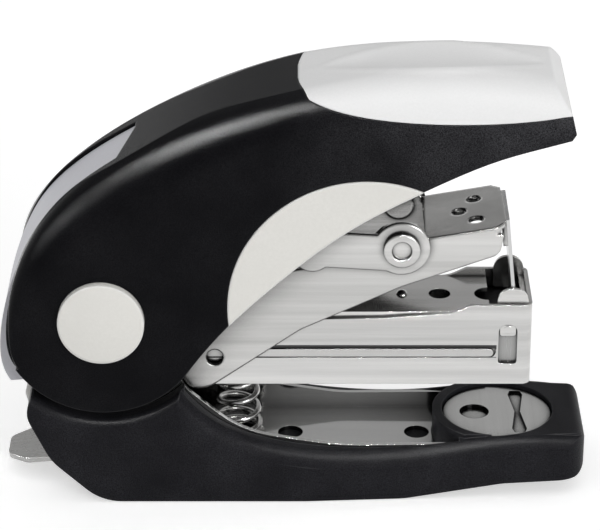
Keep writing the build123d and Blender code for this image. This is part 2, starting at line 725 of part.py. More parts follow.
def saddle_round():
    """Rings that round the outer edges of the saddle under the handle's boss."""
    radius = BOSS_RADIUS + SADDLE_GAP
    size = SADDLE_ROUND
    centre = Vector(radius + size, BASE_HALF - size)
    low = centre + Vector(-size, 0)
    middle = centre + Vector(-1, 1).normalized() * size
    high = centre + Vector(0, size)
    corner = Vector(radius - size, BASE_HALF + OVER)
    edges = [
        ThreePointArc(low, middle, high),
        Polyline(high, (high.X, corner.Y), corner, (corner.X, low.Y), low),
    ]
    place = Plane(origin=(HANDLE_PIVOT[0], 0, HANDLE_PIVOT[1]), x_dir=(1, 0, 0), z_dir=(0, 0, 1))
    axis = Axis((HANDLE_PIVOT[0], 0, HANDLE_PIVOT[1]), (0, 1, 0))
    far = revolve(place * make_face(edges), axis)
    return far + mirror(far, about=Plane.XZ)


def base_shell():
    """Black moulded base with a seat for the steel plate and a round recess for the anvil."""
    edge = base_edge()
    start = edge @ 0
    end = edge @ 1
    top = [(BASE_FRONT, BASE_TOP, 2), (end.X, BASE_TOP, 0), (end.X, BASE_HEEL[0][1], 0)]
    side = rounded(*BASE_UNDER, *top, *BASE_HEEL)
    side -= make_face([edge, Polyline(end, (end.X, FAR), (start.X, FAR), start)])
    front_half = BASE_HALF - BASE_TAPER
    plan = rounded(
        (-FAR, BASE_HALF, 0),
        (BASE_TAPER_X, BASE_HALF, 30),
        (BASE_FRONT, front_half, 5),
        (BASE_FRONT, -front_half, 5),
        (BASE_TAPER_X, -BASE_HALF, 30),
        (-FAR, -BASE_HALF, 0),
    )
    shell = slab(side, -BASE_HALF, BASE_HALF) & extrude(plan, amount=FAR, dir=(0, 0, 1))
    shell += upright(DISC_CENTRE, 0, COLLAR_RADIUS, FLOOR_Z, BASE_TOP)
    shell -= rounding_cutter(edge, base_half_at, BASE_ROUND, BASE_ROUNDING)
    shell -= rod(HANDLE_PIVOT, BOSS_RADIUS + SADDLE_GAP, -BASE_HALF, BASE_HALF) + saddle_round()
    shell -= block(-FAR, HEEL_TOP[0], -FAR, FAR, HEEL_TOP[1], FAR)
    inside = PLATE_HALF + SLIP_FIT
    pocket = block(PLATE_REAR - SLIP_FIT, PLATE_FRONT + SLIP_FIT, -inside, inside, FLOOR_Z, FAR)
    shell -= pocket - upright(DISC_CENTRE, 0, COLLAR_RADIUS, 0, FAR)
    shell -= upright(DISC_CENTRE, 0, DISC_RADIUS + SLIP_FIT, DISC_TOP - DISC_THICK, FAR)
    foot = FOOT_HALF + SLIP_FIT
    shell -= block(FOOT_REAR - SLIP_FIT, FOOT_FRONT + SLIP_FIT, -foot, foot, -OVER, PAD_UNDER)
    rear, front, wide = UNDERCUT
    shell -= block(rear, front, -wide, wide, -OVER, DISC_TOP - DISC_THICK - DECK)
    shell -= remover_blank(SLIP_FIT)
    shell -= rear_panel_blank(SLIP_FIT)
    for y in (RIVET_Y, -RIVET_Y):
        shell -= upright(RIVET_X, y, BASE_RIVET, -OVER, FAR)
    return shell


def base_plate():
    """Bright steel channel in the base, with two tall ears for the pins."""
    x, z = HANDLE_PIVOT
    wide, rise = PLATE_EAR
    low = [(PLATE_REAR, FLOOR_Z, PLATE_HEEL), (PLATE_FRONT, FLOOR_Z, 0)]
    ear = [(x + wide, z + rise, 6), (x - wide, z + rise, 6)]
    side = rounded(*low, *PLATE_EDGE, *ear, (PLATE_REAR, BASE_HEEL[1][1], 6))
    plate = both_sides(side, PLATE_HALF - PLATE_SHEET, PLATE_HALF)
    floor = FLOOR_Z + PLATE_SHEET
    plate += block(PLATE_REAR + PLATE_HEEL, PLATE_FRONT, -PLATE_HALF, PLATE_HALF, FLOOR_Z, floor)
    plate -= upright(DISC_CENTRE, 0, COLLAR_RADIUS + SLIP_FIT, 0, FAR)
    for hole_x in PLATE_HOLES:
        plate -= upright(hole_x, 0, PLATE_HOLE, 0, FAR)
    for y in (RIVET_Y, -RIVET_Y):
        plate -= upright(RIVET_X, y, BASE_RIVET, 0, FAR)
    plate -= rod(HANDLE_PIVOT, HANDLE_PIN_RADIUS, -PLATE_HALF, PLATE_HALF)
    return plate - rod(MAIN_PIVOT, MAIN_PIN_RADIUS, -PLATE_HALF, PLATE_HALF)


def anvil_disc():
    """Round bright anvil with its clinch groove and a dimple."""
    disc = upright(DISC_CENTRE, 0, DISC_RADIUS, DISC_TOP - DISC_THICK, DISC_TOP)
    disc = fillet(disc.edges().group_by(Axis.Z)[-1], 0.3)
    groove = extrude(Polygon(*CLINCH_HALF, align=None), amount=FAR, dir=(0, 0, 1))
    for turn in (0, 180):
        disc -= Pos(CLINCH_X, 0, DISC_TOP - CLINCH_DEPTH) * Rot(0, 0, turn) * groove
    x, radius, depth = DIMPLE
    return disc - upright(x, 0, radius, DISC_TOP - depth, FAR)


def remover_blank(grow):
    """Flat tongue at the rear, sloping down to its tip."""
    side = REMOVER_HALF + grow
    root = REMOVER_ROOT + grow
    half = [
        (root, side, 0),
        (REMOVER_SHOULDER, side, 1.5),
        (REMOVER_TIP, REMOVER_TIP_HALF, 2),
    ]
    other = [(x, -y, radius) for x, y, radius in reversed(half)]
    sheet = extrude(rounded(*half, *other), amount=REMOVER_SHEET + 2 * grow, dir=(0, 0, 1))
    x, z = REMOVER_MIDDLE
    return Pos(x, 0, z - grow) * Rot(0, -REMOVER_SLOPE, 0) * Pos(-x, 0, 0) * sheet


def rear_panel_blank(grow):
    """White crescent let into the rear of the base."""
    return slab(rounded(*REAR_PANEL), -PANEL_HALF - grow, PANEL_HALF + grow)


def foot_pad():
    """Rubber pad under the base."""
    return block(FOOT_REAR, FOOT_FRONT, -FOOT_HALF, FOOT_HALF, 0, PAD_UNDER)


def main_pivot_pin():
    """Headed pin that the magazine and the arm turn on."""
    radius, thick = PIN_HEAD
    pin = rod(MAIN_PIVOT, MAIN_PIN_RADIUS, -PLATE_HALF, PLATE_HALF)
    return pin + both_sides(Pos(*MAIN_PIVOT) * Circle(radius), PLATE_HALF, PLATE_HALF + thick)


def base_rivet(y):
    """Rivet through the plate and the base's deck."""
    floor = FLOOR_Z + PLATE_SHEET
    shank = upright(RIVET_X, y, BASE_RIVET, PAD_UNDER, floor)
    return shank + upright(RIVET_X, y, BASE_RIVET_HEAD, floor, floor + PLATE_SHEET)


def return_spring():
    """Tapered spring that lifts the magazine off the anvil."""
    floor = FLOOR_Z + PLATE_SHEET
    length = MAG_BOTTOM - SIDE_GAP - floor
    low, high = RETURN_RADII

    def place(u, v, w):
        return Vector(RETURN_SPRING_X + u, v, floor + w)

    def radius_at(t):
        return low + (high - low) * t

    return wound_spring("return_spring", RETURN_WIRE, RETURN_TURNS, radius_at, length, place)


def flipped(solid):
    """The same piece on the other side of the middle plane."""
    return mirror(solid, about=Plane.XZ)


PARTS = {
    "base_shell": base_shell(),
    "base_plate": base_plate(),
    "anvil_disc": anvil_disc(),
    "base_rear_panel": rear_panel_blank(0),
    "staple_remover": remover_blank(0),
    "foot_pad": foot_pad(),
    "base_rivets": Compound(children=[base_rivet(RIVET_Y), base_rivet(-RIVET_Y)]),
    "main_pivot_pin": main_pivot_pin(),
    "handle_pivot_pin": handle_pivot_pin(),
    "return_spring": return_spring(),
    "magazine_channel": magazine_channel(),
    "staple_rail": staple_rail(),
    "front_guide": front_guide(),
    "magazine_cover": magazine_cover(),
    "pusher_rod": pusher_rod(),
    "pusher": pusher(),
    "pusher_spring": pusher_spring(),
    "driver_arm": driver_arm(),
    "driver_blade": driver_blade(),
    "link_rivets": Compound(children=[link_rivet(), flipped(link_rivet())]),
    "link_left": link_plate(),
    "link_right": flipped(link_plate()),
    "link_pin": link_pin(),
    "handle_shell": handle_shell(),
    "grip_pad": grip_pad(),
    "back_panel": back_panel(),
    "side_panel_left": side_panel(),
    "side_panel_right": flipped(side_panel()),
    "pivot_cap_left": pivot_cap(),
    "pivot_cap_right": flipped(pivot_cap()),
}

for name, part in PARTS.items():
    export_step(part, f"parts/{name}.step")
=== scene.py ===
# %% [markdown]
# # A compact desk stapler
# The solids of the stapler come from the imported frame, already in place and in metres. This lesson gives them their
# finishes, replaces the soft and wound pieces by finer meshes and sets up a plain studio. X runs to the stapling end,
# Y to the far side and Z up.

# %% Load the frame
import json
import math

import bmesh
import bpy
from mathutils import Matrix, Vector
from mathutils.bvhtree import BVHTree


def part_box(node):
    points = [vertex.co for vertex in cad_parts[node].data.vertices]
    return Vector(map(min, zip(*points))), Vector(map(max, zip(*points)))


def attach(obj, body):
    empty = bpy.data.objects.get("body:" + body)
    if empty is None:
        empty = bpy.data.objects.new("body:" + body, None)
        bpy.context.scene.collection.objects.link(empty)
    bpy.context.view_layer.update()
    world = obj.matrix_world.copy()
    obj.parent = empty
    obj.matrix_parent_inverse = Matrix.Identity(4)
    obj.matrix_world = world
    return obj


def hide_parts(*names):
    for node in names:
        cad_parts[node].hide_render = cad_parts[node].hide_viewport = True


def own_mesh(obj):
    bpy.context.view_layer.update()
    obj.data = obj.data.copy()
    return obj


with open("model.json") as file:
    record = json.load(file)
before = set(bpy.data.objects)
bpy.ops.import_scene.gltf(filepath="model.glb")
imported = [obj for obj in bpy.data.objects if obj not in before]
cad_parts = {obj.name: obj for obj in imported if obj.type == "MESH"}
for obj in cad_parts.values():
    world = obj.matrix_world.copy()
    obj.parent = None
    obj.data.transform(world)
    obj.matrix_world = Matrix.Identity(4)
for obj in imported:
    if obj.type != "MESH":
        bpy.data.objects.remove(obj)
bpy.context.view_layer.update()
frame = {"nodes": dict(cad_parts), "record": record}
nodes = frame["nodes"]
MM = 0.001
print("pieces from the solids:", len(nodes))

# %% [markdown]
# ## Camera
# The photo looks at the near side from a little above, and its upright lines stay upright. A short lens close by would
# frame the same picture, but its lines would spread. A long lens at half a metre gives the flat perspective of the
# photo, so that was chosen. The aim point is the middle of the object.

# %% Camera
AIM = Vector((0.9, 0.0, 38.8)) * MM
ELEVATION = math.radians(26.0)
DISTANCE = 500 * MM
CAMERA_LENS = 174.4
CAMERA_SENSOR = 36.0
NEAREST_SEEN = 10 * MM

camera_data = bpy.data.cameras.new("photo_camera")
camera_data.lens = CAMERA_LENS
camera_data.sensor_width = CAMERA_SENSOR
camera_data.clip_start = NEAREST_SEEN
camera = bpy.data.objects.new("photo_camera", camera_data)
camera.location = AIM + Vector((0, -math.cos(ELEVATION), math.sin(ELEVATION))) * DISTANCE
camera.rotation_euler = (AIM - camera.location).to_track_quat("-Z", "Y").to_euler()
bpy.context.collection.objects.link(camera)
scene = bpy.context.scene
scene.camera = camera
scene.view_settings.view_transform = "Standard"
print("camera at", [round(v, 4) for v in camera.location])


# %% [markdown]
# ## Nodes
# Materials, the world and the shared effects are all node trees. They could be drawn by hand in the shader editor, but
# as code they can be read from top to bottom. A few small helpers keep the later cells short: one adds a node and sets
# its plain values, one fills a socket, one does sums, one makes an empty node group and one sets a colour ramp.

# %% Node helpers
def add(tree, kind, **values):
    """New shader node; values set its inputs by name, with _ for a space."""
    made = tree.nodes.new("ShaderNode" + kind)
    for name, value in values.items():
        made.inputs[name.replace("_", " ")].default_value = value
    return made


def fill(tree, socket, value):
    """Links an output to a socket, or sets the socket to a plain value."""
    if isinstance(value, bpy.types.NodeSocket):
        tree.links.new(value, socket)
    else:
        socket.default_value = value


def worked(tree, operation, *terms):
    """Outcome of a Math node over outputs and plain numbers."""
    made = add(tree, "Math")
    made.operation = operation
    for socket, term in zip(made.inputs, terms):
        fill(tree, socket, term)
    return made.outputs[0]


def new_group(name, inputs, outputs):
    """Empty shader group; inputs map socket names to kinds and first values, outputs map them to kinds."""
    tree = bpy.data.node_groups.new(name, "ShaderNodeTree")
    for socket, (kind, value) in inputs.items():
        made = tree.interface.new_socket(name=socket, in_out="INPUT", socket_type="NodeSocket" + kind)
        made.default_value = value
    for socket, kind in outputs.items():
        tree.interface.new_socket(name=socket, in_out="OUTPUT", socket_type="NodeSocket" + kind)
    return tree, tree.nodes.new("NodeGroupInput"), tree.nodes.new("NodeGroupOutput")


def ramp_stops(ramp, stops):
    """Sets a colour ramp to (place, grey) stops."""
    elements = ramp.color_ramp.elements
    for i, (place, grey_level) in enumerate(stops):
        stop = elements[i] if i < 2 else elements.new(place)
        stop.position = place
        stop.color = (grey_level, grey_level, grey_level, 1)


# %% [markdown]
# ## Studio
# Bright steel only looks right when it has something to mirror. A picture of a real studio would do, but a plain
# vertical gradient is enough: white near the horizon, grey above it and light overhead. Faces that are turned up
# mirror the grey, and upright faces mirror the white floor.

# %% World
SKY_STOPS = [(0.0, 1.0), (0.12, 1.0), (0.26, 0.5), (0.5, 0.46), (0.72, 0.8), (1.0, 1.0)]
SKY_STRENGTH = 0.84

world = bpy.data.worlds.new("studio")
scene.world = world
world.use_nodes = True
sky = world.node_tree
background = sky.nodes["Background"]
direction = add(sky, "TexCoord")
upward = add(sky, "SeparateXYZ")
gradient = add(sky, "ValToRGB")
ramp_stops(gradient, SKY_STOPS)
sky.links.new(direction.outputs["Generated"], upward.inputs[0])
sky.links.new(upward.outputs["Z"], gradient.inputs["Fac"])
sky.links.new(gradient.outputs["Color"], background.inputs["Color"])
background.inputs["Strength"].default_value = SKY_STRENGTH
print("sky stops:", len(SKY_STOPS))

# %% [markdown]
# The black handle shows its form mainly by one long highlight on its rounded edge. Lamps that are strong enough for
# that would bleach the white pieces. So the three narrow strips that draw it are hidden from diffuse rays and show in
# reflections alone, and two weak fills light the sides.

# %% Softboxes
STRIPS = {
    "overhead_strip": ((-0.15, -0.3, 0.95), (0.9, 0.05), 40.0),
    "shoulder_strip": ((-0.55, -0.2, 0.8), (0.5, 0.05), 34.0),
    "flank_strip": ((-0.88, -0.1, 0.5), (0.45, 0.05), 5.0),
}
FILLS = {
    "left_fill": ((-0.9, -0.5, 0.55), (0.5, 0.5), 0.4),
    "front_fill": ((0.6, -0.9, 0.42), (0.6, 0.4), 5.4),
}


def softbox(name, place, size, watts):
    """Rectangular lamp of a size in metres, turned to the object."""
    data = bpy.data.lights.new(name, "AREA")
    data.shape = "RECTANGLE"
    data.size, data.size_y = size
    data.energy = watts
    lamp = bpy.data.objects.new(name, data)
    lamp.location = place
    lamp.rotation_euler = (AIM - Vector(place)).to_track_quat("-Z", "Y").to_euler()
    bpy.context.collection.objects.link(lamp)
    return lamp


for name, values in STRIPS.items():
    softbox(name, *values).visible_diffuse = False
for name, values in FILLS.items():
    softbox(name, *values)
print("softboxes:", *STRIPS, *FILLS)

# %% [markdown]
# The floor is a large sheet of white paper. In a photo such a sheet goes to pure white. More lamps would do that too,
# but they would bleach the object. So the paper glows a little, and Light Path lets only three kinds of ray see that
# glow: the camera's, and those that come by way of metal or glass. The object gets no light from it, and its soft
# shadow stays on the paper.

# %% Floor
PAPER_REACH = 4.0
PAPER_UNDER = 0.2 * MM
PAPER_GREY = 0.8
PAPER_GLOW = 0.47

floor_mesh = bpy.data.meshes.new("floor")
corners = [(x * PAPER_REACH, y * PAPER_REACH, 0) for x, y in ((-1, -1), (1, -1), (1, 1), (-1, 1))]
floor_mesh.from_pydata(corners, [], [(0, 1, 2, 3)])
floor = bpy.data.objects.new("floor", floor_mesh)
floor.location.z = -PAPER_UNDER
bpy.context.collection.objects.link(floor)
paper = bpy.data.materials.new("white_paper")
paper.use_nodes = True
sheet = paper.node_tree
paper_shader = sheet.nodes["Principled BSDF"]
paper_shader.inputs["Base Color"].default_value = (PAPER_GREY, PAPER_GREY, PAPER_GREY, 1)
paper_shader.inputs["Roughness"].default_value = 0.9
paper_shader.inputs["Specular IOR Level"].default_value = 0.0
paper_shader.inputs["Emission Color"].default_value = (1, 1, 1, 1)
rays = add(sheet, "LightPath")
seen = worked(sheet, "ADD", rays.outputs["Is Camera Ray"], rays.outputs["Is Glossy Ray"])
seen = worked(sheet, "ADD", seen, rays.outputs["Is Transmission Ray"])
sheet.links.new(worked(sheet, "MULTIPLY", seen, PAPER_GLOW), paper_shader.inputs["Emission Strength"])
floor_mesh.materials.append(paper)
print("floor glow", PAPER_GLOW)

# %% [markdown]
# ## Shared effects
# Six effects are node groups with their own sockets, because most of them come back in several finishes.
#
# Moulded grain is the fine texture that a spark-eroded mould leaves on plastic tools. An image of it would do, but
# noise has no seams and needs no unwrapping. Fine noise gives the height and pale specks, broad noise makes the specks
# patchy, and between two places along X they fade out. That fade is painted light: the specks show in full where
# light falls on the nose and fade towards the rear.

# %% Moulded grain and nose light
PATCH_SIZE = 120.0
SPECKS_UNLIT = 0.15

grain_and_light, g_in, g_out = new_group(
    "moulded_grain_and_nose_light",
    {"Size": ("Float", 2600.0), "Smooth": ("Float", -1.0), "Fresh": ("Float", -0.9)},
    {"Height": "Float", "Speck": "Float"},
)
where = add(grain_and_light, "TexCoord")
fine = add(grain_and_light, "TexNoise", Detail=3.0, Roughness=0.65)
patch = add(grain_and_light, "TexNoise", Scale=PATCH_SIZE, Detail=2.0, Roughness=0.5)
speck = add(grain_and_light, "ValToRGB")
ramp_stops(speck, [(0.3, 0.0), (0.75, 1.0)])
along = add(grain_and_light, "SeparateXYZ")
# Painted light: the specks fade along X, full where light falls on the nose.
nose_light = add(grain_and_light, "MapRange", To_Min=SPECKS_UNLIT, To_Max=1.0)
for socket in (fine.inputs["Vector"], patch.inputs["Vector"], along.inputs[0]):
    grain_and_light.links.new(where.outputs["Object"], socket)
grain_and_light.links.new(g_in.outputs["Size"], fine.inputs["Scale"])
grain_and_light.links.new(fine.outputs["Fac"], speck.inputs["Fac"])
grain_and_light.links.new(along.outputs["X"], nose_light.inputs["Value"])
grain_and_light.links.new(g_in.outputs["Smooth"], nose_light.inputs["From Min"])
grain_and_light.links.new(g_in.outputs["Fresh"], nose_light.inputs["From Max"])
patchy = worked(grain_and_light, "MULTIPLY", speck.outputs["Color"], patch.outputs["Fac"])
lit_specks = worked(grain_and_light, "MULTIPLY", patchy, nose_light.outputs["Result"])
grain_and_light.links.new(fine.outputs["Fac"], g_out.inputs["Height"])
grain_and_light.links.new(lit_specks, g_out.inputs["Speck"])
print("group:", grain_and_light.name)

# %% [markdown]
# Drawn streaks are the long fine lines that rolling leaves in sheet steel. A wave texture would be too regular, so
# they are noise that is stretched much more along one axis than along the others.

# %% Drawn streaks
streaks, s_in, s_out = new_group(
    "drawn_streaks", {"Stretch": ("Vector", (30.0, 900.0, 900.0))}, {"Streak": "Float", "Height": "Float"}
)
where = add(streaks, "TexCoord")
stretch = add(streaks, "Mapping")
lines = add(streaks, "TexNoise", Scale=1.0, Detail=4.0, Roughness=0.6)
spread = add(streaks, "ValToRGB")
ramp_stops(spread, [(0.3, 0.0), (0.7, 1.0)])
streaks.links.new(where.outputs["Object"], stretch.inputs["Vector"])
streaks.links.new(s_in.outputs["Stretch"], stretch.inputs["Scale"])
streaks.links.new(stretch.outputs["Vector"], lines.inputs["Vector"])
streaks.links.new(lines.outputs["Fac"], spread.inputs["Fac"])
streaks.links.new(spread.outputs["Color"], s_out.inputs["Streak"])
streaks.links.new(lines.outputs["Fac"], s_out.inputs["Height"])
print("group:", streaks.name)

# %% [markdown]
# Edge wear and highlight finds the edges that hands and tables rub. They could be painted, but the Bevel node finds
# them on any solid: it gives a rounded normal near an edge, and where that differs from the flat normal there is an
# edge. The colour given to these edges stands for wear and, where it is paler, for a painted highlight. The rounded
# normal is used too, so that knife-sharp solids catch a line of light as real pieces do.

# %% Edge wear and highlight
EDGE_SAMPLES = 8

edge, e_in, e_out = new_group("edge_wear_and_highlight", {"Radius": ("Float", 0.2 * MM)}, {"Mask": "Float", "Normal": "Vector"})
rounded = add(edge, "Bevel")
rounded.samples = EDGE_SAMPLES
flat = add(edge, "NewGeometry")
meet = add(edge, "VectorMath")
meet.operation = "DOT_PRODUCT"
mask = add(edge, "ValToRGB")
ramp_stops(mask, [(0.82, 1.0), (0.985, 0.0)])
edge.links.new(e_in.outputs["Radius"], rounded.inputs["Radius"])
edge.links.new(rounded.outputs["Normal"], meet.inputs[0])
edge.links.new(flat.outputs["Normal"], meet.inputs[1])
edge.links.new(meet.outputs["Value"], mask.inputs["Fac"])
edge.links.new(mask.outputs["Color"], e_out.inputs["Mask"])
edge.links.new(rounded.outputs["Normal"], e_out.inputs["Normal"])
print("group:", edge.name)

# %% [markdown]
# Painted recess shade darkens holes, grooves, inner corners and places under and between parts, where shade falls.
# Such places could be picked face by face, but ambient occlusion finds them all: it tells how much of the space around
# a point is open.

# %% Painted recess shade
RECESS_SAMPLES = 16

recess_shade, o_in, o_out = new_group(
    "painted_recess_shade",
    {"Distance": ("Float", 1.5 * MM), "Full": ("Float", 0.15), "Clear": ("Float", 0.65)},
    {"Mask": "Float"},
)
openness = add(recess_shade, "AmbientOcclusion")
openness.samples = RECESS_SAMPLES
dark = add(recess_shade, "MapRange", To_Min=1.0, To_Max=0.0)
recess_shade.links.new(o_in.outputs["Distance"], openness.inputs["Distance"])
recess_shade.links.new(openness.outputs["AO"], dark.inputs["Value"])
recess_shade.links.new(o_in.outputs["Full"], dark.inputs["From Min"])
recess_shade.links.new(o_in.outputs["Clear"], dark.inputs["From Max"])
recess_shade.links.new(dark.outputs["Result"], o_out.inputs["Mask"])
print("group:", recess_shade.name)

# %% [markdown]
# Painted groove shade is the dark line in the magazine's side: shade in the slit above the band, and a fine line of it
# below the band. The slit is too narrow for ambient occlusion to find it evenly, so this group marks a known height and
# length instead.

# %% Painted groove shade
groove_shade, l_in, l_out = new_group(
    "painted_groove_shade",
    {"Height": ("Float", 0.0), "Half": ("Float", 0.0), "Middle": ("Float", 0.0), "Reach": ("Float", 0.0)},
    {"Mask": "Float"},
)
where = add(groove_shade, "TexCoord")
place = add(groove_shade, "SeparateXYZ")
groove_shade.links.new(where.outputs["Object"], place.inputs[0])
level = worked(groove_shade, "COMPARE", place.outputs["Z"], l_in.outputs["Height"], l_in.outputs["Half"])
length = worked(groove_shade, "COMPARE", place.outputs["X"], l_in.outputs["Middle"], l_in.outputs["Reach"])
groove_shade.links.new(worked(groove_shade, "MULTIPLY", level, length), l_out.inputs["Mask"])
print("group:", groove_shade.name)

# %% [markdown]
# Handling film is the faint patchiness that fingers leave on a surface. Clouds of noise stand for it, and they change
# the gloss alone.

# %% Handling film
film, f_in, f_out = new_group("handling_film", {"Size": ("Float", 60.0)}, {"Film": "Float"})
where = add(film, "TexCoord")
cloud = add(film, "TexNoise", Detail=5.0, Roughness=0.62, Distortion=0.6)
clear = add(film, "ValToRGB")
ramp_stops(clear, [(0.36, 0.0), (0.7, 1.0)])
film.links.new(where.outputs["Object"], cloud.inputs["Vector"])
film.links.new(f_in.outputs["Size"], cloud.inputs["Scale"])
film.links.new(cloud.outputs["Fac"], clear.inputs["Fac"])
film.links.new(clear.outputs["Color"], f_out.inputs["Film"])
print("group:", film.name)


# %% [markdown]
# ## Finishes
# Every finish starts from a Principled shader. Plain numbers sit on its own sockets; only what changes over the surface
# is linked: the colour from one to another, the roughness between two values, and a bump. One class holds the few
# ways of linking them, so that a finish is a short recipe.

# %% Finish helper
class Finish:
    """A material with its shader, in which the shared effects are placed."""

    def __init__(self, name, specular, metallic=0.0):
        self.material = bpy.data.materials.new(name)
        self.material.use_nodes = True
        self.tree = self.material.node_tree
        self.shader = self.tree.nodes["Principled BSDF"]
        self.shader.inputs["Specular IOR Level"].default_value = specular
        self.shader.inputs["Metallic"].default_value = metallic

    def effect(self, group, **values):
        """Places a shared effect and sets its own values."""
        made = self.tree.nodes.new("ShaderNodeGroup")
        made.node_tree = group
        for name, value in values.items():
            made.inputs[name].default_value = value
        return made

    def colour(self, share, low, high):
        """Base colour from low to high by a share; low may be the outcome of an earlier blend."""
        blend = add(self.tree, "Mix")
        blend.data_type = "RGBA"
        ends = [socket for socket in blend.inputs if socket.type == "RGBA"]
        for socket, value in zip(ends, (low, high)):
            fill(self.tree, socket, (*value, 1) if isinstance(value, tuple) else value)
        self.tree.links.new(share, blend.inputs["Factor"])
        outcome = next(socket for socket in blend.outputs if socket.type == "RGBA")
        self.tree.links.new(outcome, self.shader.inputs["Base Color"])
        return outcome

    def rough(self, share, low, high):
        """Roughness between two values by a share."""
        span = add(self.tree, "MapRange", To_Min=low, To_Max=high)
        self.tree.links.new(share, span.inputs["Value"])
        self.tree.links.new(span.outputs["Result"], self.shader.inputs["Roughness"])

    def bump(self, height, strength, distance, normal):
        """Bump from a height, on top of a rounded normal."""
        made = add(self.tree, "Bump", Strength=strength, Distance=distance)
        self.tree.links.new(height, made.inputs["Height"])
        self.tree.links.new(normal, made.inputs["Normal"])
        self.tree.links.new(made.outputs["Normal"], self.shader.inputs["Normal"])


# %% [markdown]
# The handle and the base are black moulded plastic: nearly black, with a fine grain that breaks up the light. A plain
# black would look like painted wood. Grain, film and softened edges, worn and with a painted highlight, make one
# recipe, which with other values also gives the white plastic and the rubbers.

# %% Plastic recipe
FILM_SIZE = 70.0
GRAIN_STEP = 0.1 * MM
EVENLY_LIT = (-1.0, -0.9)


def moulded(name, low, high, wear_and_highlight_to, specular, rough, grain_size, grain_height, edge_radius, lit_span=EVENLY_LIT):
    """Moulded plastic with grain, faint handling film and softened edges, worn and with a painted highlight."""
    made = Finish(name, specular)
    texture = made.effect(grain_and_light, Size=grain_size, Smooth=lit_span[0], Fresh=lit_span[1])
    corner = made.effect(edge, Radius=edge_radius)
    surface = made.colour(texture.outputs["Speck"], low, high)
    # Edge colour: wear, and where it is paler a painted highlight.
    made.colour(corner.outputs["Mask"], surface, wear_and_highlight_to)
    smudge = made.effect(film, Size=FILM_SIZE)
    made.rough(smudge.outputs["Film"], *rough)
    made.bump(texture.outputs["Height"], grain_height, GRAIN_STEP, corner.outputs["Normal"])
    return made.material


# %% [markdown]
# On the handle the specks are painted light: they show towards the nose, where light falls, and fade towards the
# rear. The base keeps a coarser grain. The white pieces are cream white with little grain, and the strip down the back
# is a darker, cooler copy of that white, as painted shade. The dark plastic inside is for the pusher.

# %% Plastics
black_plastic = moulded(
    "black_plastic", low=(0.0018, 0.0018, 0.0026), high=(0.115, 0.115, 0.124), wear_and_highlight_to=(0.03, 0.03, 0.032),
    specular=0.038, rough=(0.15, 0.2), grain_size=5200.0, grain_height=0.3, edge_radius=0.4 * MM,
    lit_span=(-5 * MM, 40 * MM),
)
grained_plastic = moulded(
    "grained_plastic", low=(0.0055, 0.0055, 0.0068), high=(0.044, 0.044, 0.05), wear_and_highlight_to=(0.045, 0.045, 0.048),
    specular=0.04, rough=(0.3, 0.38), grain_size=4800.0, grain_height=0.5, edge_radius=0.4 * MM,
)
white_plastic = moulded(
    "white_plastic", low=(0.735, 0.724, 0.688), high=(0.795, 0.784, 0.748), wear_and_highlight_to=(0.84, 0.836, 0.82),
    specular=0.12, rough=(0.34, 0.46), grain_size=1800.0, grain_height=0.06, edge_radius=0.8 * MM,
)
# A darker, cooler copy of the white plastic, as painted shade.
shaded_white_plastic = moulded(
    "shaded_white_plastic", low=(0.60, 0.60, 0.64), high=(0.66, 0.66, 0.70), wear_and_highlight_to=(0.74, 0.74, 0.77),
    specular=0.12, rough=(0.34, 0.46), grain_size=1800.0, grain_height=0.06, edge_radius=0.25 * MM,
)
dark_plastic = moulded(
    "dark_plastic", low=(0.012, 0.012, 0.013), high=(0.03, 0.03, 0.032), wear_and_highlight_to=(0.05, 0.05, 0.052),
    specular=0.3, rough=(0.45, 0.6), grain_size=2000.0, grain_height=0.4, edge_radius=0.2 * MM,
)
print("plastics:", *(made.name for made in (black_plastic, grained_plastic, white_plastic, shaded_white_plastic, dark_plastic)))

# %% [markdown]
# The grip pad is a soft white rubber, matte and even. The foot is black rubber with a coarse, dry surface. Both are the
# plastic recipe with a rougher surface.

# %% Rubbers
soft_pad = moulded(
    "soft_pad", low=(0.80, 0.80, 0.80), high=(0.86, 0.86, 0.86), wear_and_highlight_to=(0.78, 0.78, 0.78),
    specular=0.08, rough=(0.5, 0.6), grain_size=2400.0, grain_height=0.05, edge_radius=0.3 * MM,
)
foot_rubber = moulded(
    "foot_rubber", low=(0.018, 0.018, 0.019), high=(0.04, 0.04, 0.04), wear_and_highlight_to=(0.06, 0.06, 0.06),
    specular=0.25, rough=(0.7, 0.85), grain_size=1500.0, grain_height=0.6, edge_radius=0.3 * MM,
)
print("rubbers:", soft_pad.name, foot_rubber.name)


# %% [markdown]
# Sheet steel is bright and nearly a mirror, with streaks along the way it was rolled. An anisotropic shader would blur
# its reflections, but the streaks themselves would be missing. So fine lines change the roughness and the bump, broad
# bands change the colour, and painted shade darkens the recesses. Cut edges get a rounded normal and show as a fine
# line.

# %% Steel recipe
CUT_EDGE = 0.07 * MM
STREAK_STEP = 0.02 * MM
# Painted shade in the recesses of every steel that has none of its own.
PLAIN_RECESS_SHADE = [(dict(Distance=1.5 * MM, Full=0.15, Clear=0.65), 0.012)]


